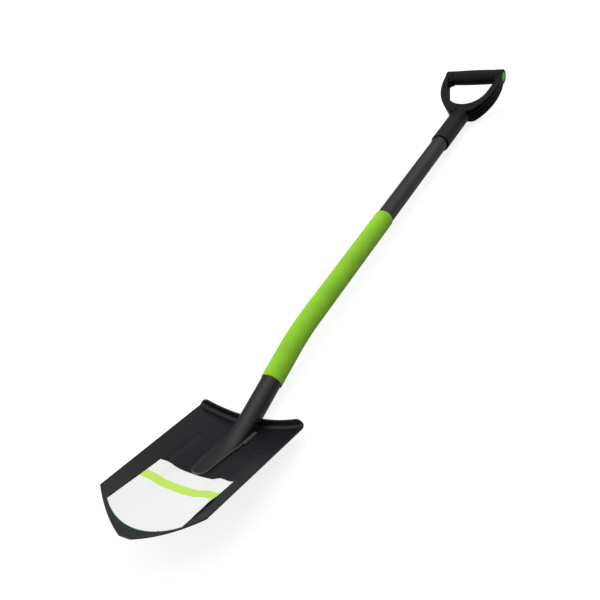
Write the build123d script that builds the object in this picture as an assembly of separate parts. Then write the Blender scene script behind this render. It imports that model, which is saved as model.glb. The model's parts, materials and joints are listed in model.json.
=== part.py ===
from build123d import *
import math
import os

# A pointed spade, in millimetres and degrees.
# It is drawn in the blade's own axes: X across, Y from the tip towards the grip, Z out of the dished face.
# Their origin is on that face, at the middle of the heel. At the end the spade is laid on the floor, face up.

# Blade, pressed from one sheet
SHEET = 2.0
HEEL_SPAN = 186.0
SHOULDER_SPAN = 180.8
SHOULDER_REACH = 221.0      # heel to the shoulders, where the cutting edges begin
POINT_REACH = 275.0         # heel to the blunt point
POINT_FLAT = 19.0           # width of the blunt point
POINT_CORNER = 6.0
EDGE_BOW = 3.9              # how far a cutting edge bows out of its chord
DISH_DEPTH = 17.5           # rise of the long edges over the middle of the face
BEND_INSIDE = 5.0           # inside radius of the folded treads
TREAD_HEIGHT = 12.7         # over the face beside it
TREAD_CORNER = 11.0
TAB_REACH = 13.0            # flat centre tab under the tube, beyond the heel
TAB_SLOT = 1.2              # relief slots between the tab and the treads

# Pressed ribs of the blade
RIB_SPACING = 106.0
RIB_WIDTH = 16.0            # from foot to foot
RIB_HEIGHT = 1.6
RIB_FOOT = 0.2              # how deep its soft feet run under the face
RIB_START = 52.0            # heel to the rib's upper end
RIB_LENGTH = 138.0

# Shaft tube; places along it are measured on its axis, from the heel line
TUBE_DIAMETER = 32.0
TUBE_WALL = 1.5
TUBE_TOP = 870.0
AXIS_AT_HEEL = 12.7         # height of the axis over the face
LOWER_RISE = 24.7
UPPER_RISE = 15.5
BEND_AT = 168.0
BEND_RADIUS = 450.0

# Tongue: the tube's lower end, pressed flat onto the face
TONGUE_REACH = 134.0
TONGUE_FLAT = 14.0          # level stretch at its tip
TONGUE_TIP_HEIGHT = 3.5
TONGUE_TIP_RADIUS = 12.0
TONGUE_SPREAD = 1.5         # how much wider than the tube it is pressed
TONGUE_TAPER_AT = 55.0      # heel to where it begins to narrow
TONGUE_BLEND = 25.0         # round stretch of tube that runs into it
TONGUE_STATIONS = 6

# Welds
BEAD_OUT = 0.33             # beads' axes beside the tongue, as a share of their radius
BEAD_LIFT = 0.25            # the same over the face
SIDE_WELD_RADIUS = 3.6
SIDE_WELD_START = 18.0
SIDE_WELD_LENGTH = 48.0
TONGUE_WELD_RADIUS = 1.8
TREAD_WELD_RADIUS = 2.4

# Green sleeve on the tube
SLEEVE_WALL = 1.4
SLEEVE_START = 67.3
SLEEVE_END = 491.6
SLEEVE_ROUND = 0.6

# Grip: places in it are measured from the crossbar's axis, in the leaning plane of the D
SOCKET_DIAMETER = 38.0
SOCKET_DEPTH = 103.0
SOCKET_ROUND = 1.5
SOCKET_TOP_ROUND = 3.0
RIM_WIDTH = 10.0            # smooth rim of the D between the socket and the hand opening
TUBE_END_GAP = 2.0
GRIP_LEAN = 22.0            # forward lean of the D against the shaft
GRIP_CROSSING = 36.5        # tube's top to where the leaning plane crosses the shaft's axis
GRIP_LENGTH = 95.3          # from there to the crossbar's axis
HAND_DEPTH = 89.9           # crossbar's axis to the bottom of the hand opening
HAND_RADIUS = 47.1          # of the opening's round bottom
HAND_SPREAD = 16.0          # lean of the opening's straight sides
ARM_DRAFT = 4.0             # lean of the arms' sides, which makes them narrower at the back
ARM_TOP_WIDTH = 5.9         # beside the hand opening, under the crossbar
ARM_WAIST_OUT = 10.5        # outer side beyond the opening's bottom radius, at the waist
ARM_WAIST_AT = 60.0
ARM_ROOT_SPAN = 46.0
ARM_ROOT_AT = 108.7
ARM_TOP_DEPTH = 26.0
ARM_ROOT_DEPTH = 37.0
ARM_ROUND = 2.0
ARM_ROOT_CORNER = 14.0
WEB_RADIUS = 6.0            # rounded inner corners below the crossbar
GROOVE_COUNT = 3
GROOVE_FIRST = 0.70         # first groove's height over the D's middle, as a share of half its depth
GROOVE_STEP = 0.56          # from groove to groove, as the same share
GROOVE_WIDTH = 4.0
GROOVE_DEPTH = 2.0
BOSS_DIAMETER = 30.8
BOSS_PROUD = 1.5            # how far a boss stands out of its arm
BOSS_ROUND = 2.5
BOSS_SHOULDER = 9.8         # how far a boss stands into the hand opening
CORE_DIAMETER = 22.0
CORE_BORE = 14.0
ROLL_DIAMETER = 31.8
ROLL_END_DIAMETER = 29.8
ROLL_ROUND = 1.5

# End plugs of the crossbar
PLUG_DIAMETER = 19.5
PLUG_HEAD = 3.0
PLUG_SPIGOT = 12.0
PLUG_ROUND = 0.4

# Countersunk screw at the back of the socket
SCREW_DIAMETER = 4.0
SCREW_HEAD_DIAMETER = 7.6
SCREW_HEAD_HEIGHT = 1.8
SCREW_LENGTH = 11.0
SCREW_FROM_MOUTH = 45.0

# Sticker on the face
LABEL_WIDTH = 132.6
LABEL_SIDE = 100.5
LABEL_SAG = 21.4            # depth of its round lower end
LABEL_CORNER = 1.5
LABEL_THICKNESS = 0.3
LABEL_GLUE = 0.2            # adhesive under it
LABEL_GAP = 0.3             # tongue's weld to its upper edge
LABEL_OFFSET = 4.2
LABEL_TURN = -3.0

FIT_CLEARANCE = 0.1         # round pieces pushed over or into each other
WELD_CLEARANCE = 0.4        # tube to tread, before welding
LYING_TOLERANCE = 0.01      # how evenly the heel and the grip meet the floor

# Worked out from the sizes above
HALF_HEEL = HEEL_SPAN / 2
DISH_RADIUS = (HALF_HEEL**2 + DISH_DEPTH**2) / (2 * DISH_DEPTH)
TUBE_RADIUS = TUBE_DIAMETER / 2
NOTCH_HALF = TUBE_RADIUS + WELD_CLEARANCE
ACROSS = Vector(1, 0, 0)
STANDING = (Align.CENTER, Align.CENTER, Align.MIN)
HANGING = (Align.CENTER, Align.CENTER, Align.MAX)
LOWER_AXIS = Vector(0, math.cos(math.radians(LOWER_RISE)), math.sin(math.radians(LOWER_RISE)))
UPPER_AXIS = Vector(0, math.cos(math.radians(UPPER_RISE)), math.sin(math.radians(UPPER_RISE)))
AXIS_START = Vector(0, 0, AXIS_AT_HEEL)
AXIS_CORNER = AXIS_START + LOWER_AXIS * BEND_AT
SOCKET_MOUTH = TUBE_TOP + TUBE_END_GAP - SOCKET_DEPTH
SPREAD_SLOPE = math.tan(math.radians(HAND_SPREAD))
SPREAD_OUT = Vector(math.cos(math.radians(HAND_SPREAD)), -math.sin(math.radians(HAND_SPREAD)))
HAND_LOW = Vector(0, HAND_RADIUS - HAND_DEPTH) + SPREAD_OUT * HAND_RADIUS
HAND_TOP_HALF = HAND_LOW.X - (HAND_LOW.Y + BOSS_DIAMETER / 2) * SPREAD_SLOPE
ARM_TOP_SPAN = 2 * (HAND_TOP_HALF + ARM_TOP_WIDTH)
ARM_WAIST_SPAN = 2 * (HAND_RADIUS + ARM_WAIST_OUT)
BOSS_INNER = HAND_TOP_HALF - BOSS_SHOULDER
BOSS_SPAN = ARM_TOP_SPAN + 2 * BOSS_PROUD


def axis_point(along):
    """Point of the tube's axis, this far from the heel line."""
    if along <= BEND_AT:
        return AXIS_START + LOWER_AXIS * along
    return AXIS_CORNER + UPPER_AXIS * (along - BEND_AT)


def axis_plane(along):
    """Plane across the tube's axis; its own Y points to the spade's back."""
    direction = LOWER_AXIS if along <= BEND_AT else UPPER_AXIS
    return Plane(origin=axis_point(along), x_dir=ACROSS, z_dir=direction)


def axis_sweep(section, start, end):
    """A section of the plane at start, carried along the bent axis to end."""
    path = FilletPolyline(axis_point(start), AXIS_CORNER, axis_point(end), radius=BEND_RADIUS)
    return sweep(axis_plane(start) * section, path=path)


def dish_cylinder(radius, start, end):
    """Solid cylinder round the dish's axis, between two places along Y."""
    length = end - start
    middle = Pos(0, (start + end) / 2, DISH_RADIUS)
    return middle * Rot(90, 0, 0) * Cylinder(radius, length)


def face_prism(outline):
    """A plan outline carried straight through the blade, both ways."""
    return extrude(outline, amount=HEEL_SPAN, both=True)


def blade_outline():
    """The blade seen square to its face, with room for the treads beyond the heel."""
    heel = (HALF_HEEL, 0)
    beyond = (HALF_HEEL, 2 * SHEET)
    shoulder = (SHOULDER_SPAN / 2, -SHOULDER_REACH)
    point = (POINT_FLAT / 2, -POINT_REACH)
    chord = Vector(*point) - Vector(*shoulder)
    outward = chord.rotate(Axis.Z, 90).normalized()
    bowed = (Vector(*shoulder) + Vector(*point)) / 2 + outward * EDGE_BOW
    right = Polyline(beyond, heel, shoulder) + ThreePointArc(shoulder, bowed, point)
    left = mirror(right, Plane.YZ)
    top = Line(beyond, (-HALF_HEEL, 2 * SHEET))
    blunt = Line(point, (-POINT_FLAT / 2, -POINT_REACH))
    outline = make_face(right + left + top + blunt)
    return fillet(outline.vertices().group_by(Axis.Y)[0], POINT_CORNER)


def rib_profile(grow):
    """Right half of a rib's section: a round top that runs into a hollow foot; grow sets it outward."""
    half = RIB_WIDTH / 2
    height = RIB_HEIGHT + RIB_FOOT
    slope = 2 * math.degrees(math.atan(height / half))
    radius = half / 2 / math.sin(math.radians(slope))
    top = RIB_HEIGHT + grow
    foot = grow - RIB_FOOT
    deep = -2 * SHEET - height
    side = CenterArc((0, RIB_HEIGHT - radius), radius + grow, 90 - slope, slope)
    side += CenterArc((half, radius - RIB_FOOT), radius - grow, 270 - slope, slope)
    return make_face(side + Polyline((half, foot), (half, deep), (0, deep), (0, top)))


def rib_bars(grow=0.0, sink=0.0):
    """Two bars with domed ends whose tops stand out of the face as the ribs."""
    half = rib_profile(grow)
    length = RIB_LENGTH - RIB_WIDTH
    dome = revolve(half, Axis.Y)
    bar = extrude(half + mirror(half, Plane.YZ), amount=length) + dome + Pos(0, 0, length) * dome
    angle = math.degrees(math.asin(RIB_SPACING / 2 / DISH_RADIUS))
    upper = Plane(origin=(0, -RIB_START - RIB_WIDTH / 2, -DISH_RADIUS), x_dir=ACROSS, z_dir=(0, -1, 0))
    bar = upper * (Pos(0, -sink, 0) * bar)
    bars = Part()
    for turn in (-angle, angle):
        bars += Pos(0, 0, DISH_RADIUS) * Rot(0, turn, 0) * bar
    return bars


def tread_corners(edge):
    """What the rounded outer corners leave off the treads, whose tops lie this far from the dish's axis."""
    top = DISH_RADIUS - math.sqrt(edge**2 - HALF_HEEL**2)
    low = (0, DISH_RADIUS - edge)
    arc = ThreePointArc((-HALF_HEEL, top), low, (HALF_HEEL, top))
    sides = Polyline((HALF_HEEL, top), (HALF_HEEL, -top), (-HALF_HEEL, -top), (-HALF_HEEL, top))
    upper = make_face(arc + sides).vertices().group_by(Axis.Y)[-1]
    around = Rectangle(HEEL_SPAN + 2 * TREAD_CORNER, 4 * top)
    return extrude(Plane.XZ * (around - fillet(upper, TREAD_CORNER)), amount=TREAD_HEIGHT, both=True)


def make_blade():
    """Dished sheet with folded treads, centre tab and two pressed ribs."""
    back = DISH_RADIUS + SHEET
    far = -POINT_REACH - SHEET
    bend_outside = BEND_INSIDE + SHEET
    edge = DISH_RADIUS - TREAD_HEIGHT
    outer = Polyline((back, far), (back, SHEET - bend_outside))
    outer += RadiusArc((back, SHEET - bend_outside), (back - bend_outside, SHEET), -bend_outside)
    outer += Polyline((back - bend_outside, SHEET), (edge, SHEET), (edge, 0), (DISH_RADIUS - BEND_INSIDE, 0))
    outer += RadiusArc((DISH_RADIUS - BEND_INSIDE, 0), (DISH_RADIUS, -BEND_INSIDE), BEND_INSIDE)
    outer += Polyline((DISH_RADIUS, -BEND_INSIDE), (DISH_RADIUS, far), (back, far))
    section = make_face(outer)
    half_turn = math.degrees(math.asin((HALF_HEEL + TREAD_CORNER) / edge))
    sheet = revolve(section, Axis.Y, revolution_arc=2 * half_turn)
    sheet = Pos(0, 0, DISH_RADIUS) * Rot(0, 90 - half_turn, 0) * sheet
    blade = sheet & face_prism(blade_outline())

    notch = Pos(0, TAB_REACH - bend_outside, 0) * Rectangle(2 * NOTCH_HALF, 2 * TAB_REACH)
    blade -= face_prism(notch)
    tab_half = NOTCH_HALF - TAB_SLOT
    tab = Rectangle(2 * tab_half, 2 * TAB_REACH)
    tab_sheet = dish_cylinder(back, far, TAB_REACH) - dish_cylinder(DISH_RADIUS, far, TAB_REACH)
    blade += tab_sheet & face_prism(tab)

    blade -= tread_corners(edge)

    ribs = rib_bars() & dish_cylinder(back, far, TAB_REACH)
    return blade + ribs - rib_bars(sink=SHEET)


def tongue_outline(grow=0.0):
    """The tongue seen square to the face, with straight tapering sides round to its tip."""
    wide = TUBE_RADIUS + TONGUE_SPREAD + grow
    small = TONGUE_TIP_RADIUS + grow
    tip_at = -TONGUE_REACH + TONGUE_TIP_RADIUS
    slope = math.asin((wide - small) / (-TONGUE_TAPER_AT - tip_at))
    side = Vector(math.cos(slope), -math.sin(slope))
    upper = Vector(0, -TONGUE_TAPER_AT) + side * wide
    lower = Vector(0, tip_at) + side * small
    return upper, lower, Vector(0, tip_at - small)


def tongue_prism():
    """Everything over and under the tongue's plan, up to the round tube."""
    upper, lower, tip = tongue_outline()
    beyond = tongue_start() + TUBE_DIAMETER
    right = Polyline((upper.X, beyond), upper, lower) + ThreePointArc(lower, tip, (-lower.X, lower.Y))
    left = Polyline((-lower.X, lower.Y), (-upper.X, upper.Y), (-upper.X, beyond), (upper.X, beyond))
    return face_prism(make_face(right + left))


def tongue_arc():
    """Centre and radius of the arc that the tongue's top line follows."""
    rise = math.radians(LOWER_RISE)
    level = -TONGUE_REACH + TONGUE_FLAT
    corner = (TONGUE_TIP_HEIGHT - AXIS_AT_HEEL - TUBE_RADIUS / math.cos(rise)) / math.tan(rise)
    radius = (corner - level) / math.tan(rise / 2)
    return Vector(0, level, TONGUE_TIP_HEIGHT + radius), radius


def tongue_start():
    """Place along the axis where the round tube runs into the tongue."""
    rise = math.radians(LOWER_RISE)
    centre, radius = tongue_arc()
    leaves = (centre.Y + (radius + TUBE_RADIUS) * math.sin(rise)) / math.cos(rise)
    return leaves + TONGUE_BLEND


def tongue_loft(inset, stations):
    """Round tube running into a flat arch; inset shrinks every section for the hollow."""
    centre, radius = tongue_arc()
    start = tongue_start()
    sections = [axis_plane(start - lead) * Circle(TUBE_RADIUS - inset) for lead in (0, TONGUE_BLEND / 2)]
    for station in range(stations):
        share = station / (TONGUE_STATIONS - 1)
        slope = math.radians(LOWER_RISE) * (1 - share)
        along = Vector(0, math.cos(slope), math.sin(slope))
        upward = Vector(0, -math.sin(slope), math.cos(slope))
        top = centre - upward * radius
        half_height = min(TUBE_RADIUS, top.Z / math.cos(slope))
        half_width = TUBE_RADIUS + TONGUE_SPREAD * share
        place = Plane(origin=top - upward * half_height, x_dir=ACROSS, z_dir=along)
        sections.append(place * Ellipse(half_width - inset, half_height - inset))
    if stations == TONGUE_STATIONS:
        end = Plane(origin=(0, -TONGUE_REACH - SHEET, 0), x_dir=ACROSS, z_dir=(0, 1, 0))
        sections.append(end * Ellipse(TUBE_RADIUS + TONGUE_SPREAD, TONGUE_TIP_HEIGHT))
    return loft([section.face() for section in sections])


def make_tongue_body():
    """The tongue and the round stretch above it, not yet hollow, trimmed to the blade's face."""
    return tongue_loft(0, TONGUE_STATIONS) & tongue_prism() & above_face()


def make_shaft_tube(tongue_body):
    """Bent tube, hollow, with its pressed tongue."""
    tongue = tongue_body - tongue_loft(TUBE_WALL, TONGUE_STATIONS - 2)
    ring = Circle(TUBE_RADIUS) - Circle(TUBE_RADIUS - TUBE_WALL)
    return axis_sweep(ring, tongue_start(), TUBE_TOP) + tongue


def above_face():
    """Everything on the hollow side of the dished face."""
    return dish_cylinder(DISH_RADIUS, -POINT_REACH, POINT_REACH)


def bead_bar(side):
    """Round-ended bar along the tube's side, whose upper half is the thick bead."""
    half = SIDE_WELD_LENGTH / 2 - SIDE_WELD_RADIUS
    profile = Line((0, -half - SIDE_WELD_RADIUS), (0, half + SIDE_WELD_RADIUS))
    profile += CenterArc((0, half), SIDE_WELD_RADIUS, 0, 90)
    profile += Line((SIDE_WELD_RADIUS, half), (SIDE_WELD_RADIUS, -half))
    profile += CenterArc((0, -half), SIDE_WELD_RADIUS, 270, 90)
    out = TUBE_RADIUS + TONGUE_SPREAD + SIDE_WELD_RADIUS * BEAD_OUT
    place = Pos(side * out, -SIDE_WELD_START - SIDE_WELD_LENGTH / 2, SIDE_WELD_RADIUS * BEAD_LIFT)
    return place * revolve(make_face(profile), Axis.Y)


def make_tongue_weld(tongue_body):
    """Thin bead round the tongue's tip and along its tapering sides, between the thick beads."""
    upper, lower, tip = tongue_outline()
    lift = TONGUE_WELD_RADIUS * BEAD_LIFT
    path = Line((upper.X, upper.Y, lift), (lower.X, lower.Y, lift))
    path += ThreePointArc((lower.X, lower.Y, lift), (0, tip.Y, lift), (-lower.X, lower.Y, lift))
    path += Line((-lower.X, lower.Y, lift), (-upper.X, upper.Y, lift))
    start = Plane(origin=path @ 0, z_dir=path % 0)
    bead = sweep(start * Circle(TONGUE_WELD_RADIUS), path=path)
    return (bead & above_face()) - tongue_body - bead_bar(-1) - bead_bar(1)


def make_side_weld(side, tongue_body):
    """Thick bead beside the tube."""
    return (bead_bar(side) & above_face()) - tongue_body


def make_tread_weld(side, blade, tongue_body):
    """Short upright bead in the corner between the tube and a tread."""
    top = TREAD_HEIGHT - TREAD_WELD_RADIUS
    profile = Line((0, 0), (0, TREAD_HEIGHT)) + CenterArc((0, top), TREAD_WELD_RADIUS, 0, 90)
    profile += Polyline((TREAD_WELD_RADIUS, top), (TREAD_WELD_RADIUS, 0), (0, 0))
    half_round = Rot(0, 0, 180) * revolve(Plane.XZ * make_face(profile), Axis.Z, revolution_arc=180)
    return (Pos(side * NOTCH_HALF, 0, 0) * half_round & above_face()) - blade - tongue_body


def make_shaft_sleeve():
    """Soft sleeve on the tube, through the bend, with rounded ends."""
    inside = TUBE_RADIUS + FIT_CLEARANCE
    outside = inside + SLEEVE_WALL
    sleeve = axis_sweep(Circle(outside) - Circle(inside), SLEEVE_START, SLEEVE_END)
    rims = sleeve.edges().filter_by(GeomType.CIRCLE)
    rims = [rim for rim in rims if rim.is_closed and abs(rim.radius - outside) < FIT_CLEARANCE / 2]
    return fillet(rims, SLEEVE_ROUND)


def grip_plane():
    """Leaning plane of the D; its origin is the crossbar's middle, its own Y runs up to the crossbar."""
    lean = math.radians(UPPER_RISE + GRIP_LEAN)
    upward = Vector(0, math.cos(lean), math.sin(lean))
    origin = axis_point(TUBE_TOP + GRIP_CROSSING) + upward * GRIP_LENGTH
    return Plane(origin=origin, x_dir=ACROSS, z_dir=ACROSS.cross(upward))


def socket_plane(from_mouth):
    """Plane across the socket in the D's own axes, this far from its mouth; its own Y points to the back."""
    lean = math.radians(GRIP_LEAN)
    direction = Vector(0, math.cos(lean), -math.sin(lean))
    crossing = GRIP_CROSSING + SOCKET_DEPTH - TUBE_END_GAP
    origin = Vector(0, -GRIP_LENGTH, 0) + direction * (from_mouth - crossing)
    return Plane(origin=origin, x_dir=ACROSS, z_dir=direction)


def draft(height):
    """How far the arms' sides lean in, at this height over the D's middle."""
    return -height * math.tan(math.radians(ARM_DRAFT))


def drafted(outline):
    """A solid through the whole D from an outline that is drawn for any draft."""
    faces = [Pos(0, 0, height) * outline(draft(height)) for height in (ARM_ROOT_DEPTH, -ARM_ROOT_DEPTH)]
    return loft([face.face() for face in faces], ruled=True)


def arm_arc(inset, groove=0.0):
    """Outer side of the right arm, from crossbar to socket; a groove runs out at the crossbar."""
    top = (ARM_TOP_SPAN / 2 - inset + groove / 2, 0)
    waist = (ARM_WAIST_SPAN / 2 - inset - groove, -ARM_WAIST_AT)
    root = (ARM_ROOT_SPAN / 2 - inset - groove, -ARM_ROOT_AT)
    return ThreePointArc(top, waist, root)


def arm_outline(inset):
    """Both arms' outer outline, set in, with rounded corners at the socket."""
    outer = arm_arc(inset)
    other = mirror(outer, Plane.YZ)
    outline = make_face(outer + other + Line(outer @ 0, other @ 0) + Line(outer @ 1, other @ 1))
    return fillet(outline.vertices().group_by(Axis.Y)[0], ARM_ROOT_CORNER)


def hand_outline(grow):
    """The hand opening below the crossbar's axis; grow sets its edge outward."""
    low = HAND_LOW + SPREAD_OUT * grow
    top = HAND_TOP_HALF + grow
    under = -BOSS_DIAMETER / 2
    sides = Polyline(low, (top, under), (top, 0), (-top, 0), (-top, under), (-low.X, low.Y))
    return make_face(sides + ThreePointArc((-low.X, low.Y), (0, -HAND_DEPTH - grow), low))


def groove_outline(inset):
    """What a groove takes away outside its floor, beside the socket."""
    floor_of_groove = arm_arc(inset, GROOVE_DEPTH)
    upper, lower = floor_of_groove @ 0, floor_of_groove @ 1
    outline = Pos(ARM_TOP_SPAN / 2, -ARM_ROOT_AT / 2) * Rectangle(ARM_TOP_SPAN, ARM_ROOT_AT)
    outline -= make_face(floor_of_groove + Line(upper, lower))
    outline -= Pos(0, -ARM_ROOT_AT / 2) * Rectangle(SOCKET_DIAMETER, ARM_ROOT_AT)
    return outline - make_face(Polyline(upper, lower, (0, -ARM_ROOT_AT), (0, 0), close=True))


def make_arms():
    """Both arms in one D, deeper at the socket than at the crossbar, with grooves along their outer sides."""
    slab = drafted(arm_outline) - drafted(hand_outline)
    top, root = ARM_TOP_DEPTH / 2, ARM_ROOT_DEPTH / 2
    side = Polyline((0, top), (-ARM_ROOT_AT, root), (-ARM_ROOT_AT, -root), (0, -top), (0, top))
    arms = slab & extrude(Plane.YZ * make_face(side), amount=ARM_TOP_SPAN, both=True)
    faces = [(face, face.normal_at()) for face in arms.faces()]
    level = [face for face, normal in faces if abs(normal.Z) > abs(normal.X) + abs(normal.Y)]
    rims = [rim for face in level for rim in face.edges() if rim.center().Y < -ARM_ROUND]
    arms = fillet(rims, min(ARM_ROUND, ARM_TOP_WIDTH / 4))

    deepening = math.degrees(math.atan((root - top) / ARM_ROOT_AT))
    for index in range(GROOVE_COUNT):
        share = GROOVE_FIRST - index * GROOVE_STEP
        slot = extrude(groove_outline(draft(share * root)), GROOVE_WIDTH / 2, both=True)
        groove = Pos(0, 0, share * top) * Rot(-share * deepening, 0, 0) * slot
        arms -= groove
        arms -= mirror(groove, Plane.YZ)
    return arms


def across_cylinder(radius, length):
    """Cylinder along X, centred on the crossbar's middle."""
    return Rot(0, 90, 0) * Cylinder(radius, length)


def make_boss():
    """Right boss of the crossbar, with a rounded corner below it towards the arm."""
    length = BOSS_SPAN / 2 - BOSS_INNER
    boss = across_cylinder(BOSS_DIAMETER / 2, length)
    boss = Pos(BOSS_INNER + length / 2, 0, 0) * fillet(boss.edges().group_by(Axis.X)[-1], BOSS_ROUND)
    spread = math.radians(HAND_SPREAD)
    drop = BOSS_DIAMETER / 2 + WEB_RADIUS
    middle = HAND_TOP_HALF - WEB_RADIUS * SPREAD_SLOPE - WEB_RADIUS / math.cos(spread)
    height = drop + WEB_RADIUS * math.sin(spread)
    web = Pos((BOSS_INNER + HAND_TOP_HALF) / 2, -height / 2) * Rectangle(BOSS_SHOULDER, height)
    web -= Pos(middle, -drop) * Circle(WEB_RADIUS)
    return boss + extrude(web, amount=ARM_TOP_DEPTH / 2 - 2 * ARM_ROUND, both=True)


def make_socket():
    """Solid socket whose upper end follows the rim of the hand opening."""
    socket = Cylinder(SOCKET_DIAMETER / 2, SOCKET_DEPTH + GRIP_LENGTH, align=STANDING)
    socket = fillet(socket.edges().sort_by(Axis.Z)[0], SOCKET_ROUND)
    socket = socket_plane(0) * socket - extrude(hand_outline(RIM_WIDTH), 2 * ARM_ROOT_DEPTH, both=True)
    return fillet(socket.faces().sort_by(Axis.Y)[-1].edges(), SOCKET_TOP_ROUND)


def make_grip_yoke():
    """D moulding in its own axes: socket, two arms, bosses and the hollow core bar, with the screw's hole."""
    head = make_arms() + across_cylinder(CORE_DIAMETER / 2, 2 * BOSS_INNER)
    head += make_boss()
    head += mirror(make_boss(), Plane.YZ)
    head -= across_cylinder(CORE_BORE / 2 + FIT_CLEARANCE, 2 * BOSS_SPAN)
    recess = across_cylinder(PLUG_DIAMETER / 2 + FIT_CLEARANCE, 2 * PLUG_HEAD)
    for end in (-BOSS_SPAN / 2, BOSS_SPAN / 2):
        head -= Pos(end, 0, 0) * recess
    bore = Cylinder(TUBE_RADIUS + FIT_CLEARANCE, SOCKET_DEPTH, align=STANDING)
    return head + make_socket() - socket_plane(0) * bore - screw_place() * screw_shape(FIT_CLEARANCE)


def screw_shape(grow=0.0):
    """Countersunk screw along +Z, with the top of its head at zero and its point below."""
    head = SCREW_HEAD_DIAMETER / 2 + grow
    shank = SCREW_DIAMETER / 2 + grow
    neck = -SCREW_HEAD_HEIGHT
    end = -SCREW_LENGTH
    side = Polyline((0, 0), (head, 0), (shank, neck), (shank, end + shank), (0, end), (0, 0))
    return revolve(Plane.XZ * make_face(side), Axis.Z)


def screw_place():
    """Seat of the screw in the D's own axes, flush with the back of the socket."""
    plane = socket_plane(SCREW_FROM_MOUTH)
    backward = plane.y_dir
    return Plane(origin=plane.origin + backward * (SOCKET_DIAMETER / 2), x_dir=ACROSS, z_dir=backward)


def make_grip_roll():
    """Barrel-shaped roll round the core bar, in the D's own axes."""
    half = BOSS_INNER - FIT_CLEARANCE
    bore = CORE_DIAMETER / 2 + FIT_CLEARANCE
    end = ROLL_END_DIAMETER / 2
    side = Polyline((-half, end), (-half, bore), (half, bore), (half, end))
    side += ThreePointArc((half, end), (0, ROLL_DIAMETER / 2), (-half, end))
    roll = revolve(make_face(side), Axis.X)
    rims = roll.edges().filter_by(GeomType.CIRCLE)
    rims = [rim for rim in rims if abs(rim.radius - end) < FIT_CLEARANCE]
    return fillet(rims, ROLL_ROUND)


def make_end_plug(side):
    """Green disc flush in the end of a boss, with a spigot in the core bar's bore, in the D's own axes."""
    disc = Cylinder(PLUG_DIAMETER / 2, PLUG_HEAD, align=HANGING)
    disc = fillet(disc.edges().sort_by(Axis.Z)[-1], PLUG_ROUND)
    plug = disc + Cylinder(CORE_BORE / 2, PLUG_HEAD + PLUG_SPIGOT, align=HANGING)
    return Pos(side * BOSS_SPAN / 2, 0, 0) * Rot(0, side * 90, 0) * plug


def make_blade_label():
    """Sticker that follows the dish and the ribs."""
    half = LABEL_WIDTH / 2
    outline = Polyline((-half, -LABEL_SIDE), (-half, 0), (half, 0), (half, -LABEL_SIDE))
    outline += ThreePointArc((half, -LABEL_SIDE), (0, -LABEL_SIDE - LABEL_SAG), (-half, -LABEL_SIDE))
    outline = make_face(outline)
    outline = fillet(outline.vertices(), LABEL_CORNER)
    below_weld = Pos(0, -TONGUE_REACH - TONGUE_WELD_RADIUS - LABEL_GAP)
    outline = below_weld * Rot(0, 0, LABEL_TURN) * Pos(LABEL_OFFSET, 0) * outline
    far = -POINT_REACH - SHEET
    inside = dish_cylinder(DISH_RADIUS - LABEL_GLUE, far, 0)
    skin = inside - dish_cylinder(DISH_RADIUS - LABEL_GLUE - LABEL_THICKNESS, far, 0)
    skin += rib_bars(grow=LABEL_GLUE + LABEL_THICKNESS) & inside
    return (skin - rib_bars(grow=LABEL_GLUE)) & face_prism(outline)


def lying_turn(blade, yoke):
    """Turn about X that lets the heel and the back of the grip touch the floor together."""
    def lift(angle):
        turn = Rot(-angle, 0, 0)
        return (turn * yoke).bounding_box().min.Z - (turn * blade).bounding_box().min.Z

    first, second = UPPER_RISE, LOWER_RISE
    first_lift, second_lift = lift(first), lift(second)
    while abs(second_lift) > LYING_TOLERANCE:
        third = second - second_lift * (second - first) / (second_lift - first_lift)
        first, first_lift = second, second_lift
        second, second_lift = third, lift(third)
    return second


def make_pieces():
    """Every piece under its name, in the blade's own axes."""
    blade = make_blade()
    tongue_body = make_tongue_body()
    grip = grip_plane()
    screw_hole = grip * (screw_place() * screw_shape(FIT_CLEARANCE))
    return {
        "blade": blade,
        "shaft_tube": make_shaft_tube(tongue_body) - screw_hole,
        "tongue_weld": make_tongue_weld(tongue_body),
        "side_weld_left": make_side_weld(-1, tongue_body),
        "side_weld_right": make_side_weld(1, tongue_body),
        "tread_weld_left": make_tread_weld(-1, blade, tongue_body),
        "tread_weld_right": make_tread_weld(1, blade, tongue_body),
        "shaft_sleeve": make_shaft_sleeve(),
        "grip_yoke": grip * make_grip_yoke(),
        "grip_roll": grip * make_grip_roll(),
        "end_plug_left": grip * make_end_plug(-1),
        "end_plug_right": grip * make_end_plug(1),
        "grip_screw": grip * (screw_place() * screw_shape()),
        "blade_label": make_blade_label(),
    }


def lay_down(pieces):
    """The pieces turned and shifted so that the spade lies on the floor, centred over the origin."""
    angle = lying_turn(pieces["blade"], pieces["grip_yoke"])
    pieces = {name: Rot(-angle, 0, 0) * piece for name, piece in pieces.items()}
    box = Compound(children=[Compound(piece.solids()) for piece in pieces.values()]).bounding_box()
    ground = Pos(-box.center().X, -box.center().Y, -box.min.Z)
    print(f"lies at {angle:.3f} degrees, heel at {ground.position.Y:.2f}, {ground.position.Z:.2f}")
    print(f"{box.size.X:.1f} by {box.size.Y:.1f} by {box.size.Z:.1f} mm")
    return {name: ground * piece for name, piece in pieces.items()}


os.makedirs("parts", exist_ok=True)
for piece_name, piece_shape in lay_down(make_pieces()).items():
    export_step(piece_shape, f"parts/{piece_name}.step")
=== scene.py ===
"""Looks of a pointed spade: finishes for the CAD nodes, weld beads, a sticker, a screw and a plain studio.

Sizes are in metres and angles in radians, and where a value is in degrees its comment says so. The blade
axes have their origin at the middle of its heel, with X across the blade, Y towards the grip and Z out
of the blade's face.
"""

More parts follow.
